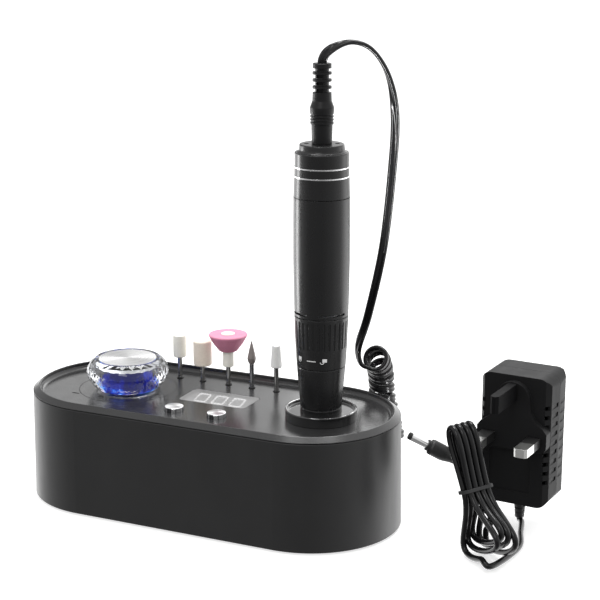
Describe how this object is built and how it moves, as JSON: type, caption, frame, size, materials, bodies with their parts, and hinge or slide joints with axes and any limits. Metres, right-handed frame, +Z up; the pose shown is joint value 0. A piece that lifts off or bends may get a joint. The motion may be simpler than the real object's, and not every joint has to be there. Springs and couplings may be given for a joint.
{
  "type": "electric nail drill",
  "caption": "Desktop electric nail drill: control box with crystal speed knob, display, buttons, bit stand and holder, corded motor handpiece, and plug-in adapter.",
  "frame": {"origin": "middle of the control box on the table plane, at the foot under its centre", "axes": "+X along the box towards the handpiece end, +Y to the back where the sockets are, +Z up"},
  "size_m": [0.2551, 0.1211, 0.2261],
  "materials": {
    "case_black": "satin moulded, near black",
    "deck_black": "semi-gloss, near black",
    "dark_plastic": "matt black",
    "gloss_black": "polished black",
    "rubber_black": "soft rubber",
    "anodised_black": "black anodised, satin",
    "aluminium": "machined",
    "steel": "brushed",
    "chrome": "polished",
    "circuit_green": "solder resist",
    "component": "moulded epoxy",
    "led_board": "white solder resist",
    "display_grey": "light grey",
    "digit_white": "lit white",
    "window": "smoked clear",
    "crystal": "clear, faceted",
    "knob_blue": "deep blue, lit from below",
    "spun_white": "spun face",
    "ceramic": "fine matt ceramic",
    "felt": "pressed felt",
    "pink_stone": "fine abrasive stone",
    "grey_stone": "coated abrasive",
    "mark_white": "printed",
    "cord_black": "glossy cord jacket"
  },
  "bodies": {
    "base": {"base_shell": "case_black", "top_cover": "deck_black", "bottom_plate": "case_black", "rubber_feet": "rubber_black", "base_screws": "steel", "main_board": "circuit_green", "board_components": "component", "display_module": "display_grey", "display_digits": "digit_white", "display_window": "window", "status_lens": "gloss_black", "knob_plate": "deck_black", "led_ring_board": "led_board", "encoder_body": "steel", "bit_sockets": "rubber_black", "holder_cup": "gloss_black", "cord_jack": "dark_plastic", "dc_jack": "dark_plastic", "base_plug": "rubber_black", "coiled_cord": "cord_black"},
    "knob": {"speed_knob": "crystal", "knob_core": "knob_blue", "knob_disc": "spun_white", "encoder_shaft": "aluminium"},
    "mode_key": {"mode_button": "chrome"},
    "power_key": {"power_button": "chrome"},
    "ceramic_bit": {"ceramic_bit_shank": "steel", "ceramic_bit_head": "ceramic"},
    "felt_bit": {"felt_bit_shank": "steel", "felt_bit_head": "felt"},
    "cone_bit": {"cone_bit_shank": "steel", "cone_bit_hub": "ceramic", "cone_bit_head": "pink_stone"},
    "steel_bit": {"flame_bit": "grey_stone"},
    "taper_bit": {"taper_bit_shank": "steel", "taper_bit_head": "ceramic"},
    "handpiece": {"barrel": "anodised_black", "tail_sleeve": "anodised_black", "polished_rings": "chrome", "end_cap": "anodised_black", "nose_cone": "anodised_black", "spindle_housing": "aluminium", "motor_can": "steel", "spindle_bearings": "steel", "plug_boot": "rubber_black", "plug_barrel": "chrome"},
    "lock": {"lock_collar": "anodised_black", "lock_marks": "mark_white"},
    "release": {"release_sleeve": "steel"},
    "spindle": {"motor_shaft": "steel", "collet": "steel"},
    "adapter": {"adapter_front": "case_black", "adapter_back": "case_black", "plug_pins": "chrome", "earth_pin": "dark_plastic", "adapter_relief": "rubber_black", "dc_cable": "cord_black", "cable_tie": "rubber_black", "dc_plug_grip": "rubber_black", "dc_plug_tip": "chrome"}
  },
  "joints": [
    {"name": "knob_turn", "type": "hinge", "parent": "base", "child": "knob", "pos_m": [-0.0476, 0.0012, 0.053], "axis": [0, 0, 1], "range_deg": [-280, 0]},
    {"name": "mode_press", "type": "slide", "parent": "base", "child": "mode_key", "axis": [0, 0, -1], "range_m": [0, 0.0006], "stiffness_N_per_m": 800, "springref_m": -0.0002},
    {"name": "power_press", "type": "slide", "parent": "base", "child": "power_key", "axis": [0, 0, -1], "range_m": [0, 0.0006], "stiffness_N_per_m": 800, "springref_m": -0.0002},
    {"name": "handpiece_lift", "type": "slide", "parent": "base", "child": "handpiece", "axis": [0, 0, 1], "range_m": [0, 0.06], "deforming": ["coiled_cord"]},
    {"name": "lock_turn", "type": "hinge", "parent": "handpiece", "child": "lock", "pos_m": [0.0573, -0.0008, 0.088], "axis": [0, 0, 1], "range_deg": [-40, 0]},
    {"name": "release_slide", "type": "slide", "parent": "handpiece", "child": "release", "axis": [0, 0, -1], "range_m": [0, 0.002]},
    {"name": "spindle_spin", "type": "hinge", "parent": "handpiece", "child": "spindle", "pos_m": [0.0573, -0.0008, 0.088], "axis": [0, 0, 1], "continuous": true},
    {"name": "ceramic_bit_lift", "type": "slide", "parent": "base", "child": "ceramic_bit", "axis": [0, 0, 1], "range_m": [0, 0.03]},
    {"name": "felt_bit_lift", "type": "slide", "parent": "base", "child": "felt_bit", "axis": [0, 0, 1], "range_m": [0, 0.03]},
    {"name": "cone_bit_lift", "type": "slide", "parent": "base", "child": "cone_bit", "axis": [0, 0, 1], "range_m": [0, 0.03]},
    {"name": "steel_bit_lift", "type": "slide", "parent": "base", "child": "steel_bit", "axis": [0, 0, 1], "range_m": [0, 0.03]},
    {"name": "taper_bit_lift", "type": "slide", "parent": "base", "child": "taper_bit", "axis": [0, 0, 1], "range_m": [0, 0.03]},
    {"name": "adapter_lift", "type": "slide", "parent": "base", "child": "adapter", "axis": [0, 0, 1], "range_m": [0, 0.1]}
  ],
  "couplings": [
    {"joint": "release_slide", "follows": "lock_turn", "m_per_rad": -0.0028648}
  ]
}
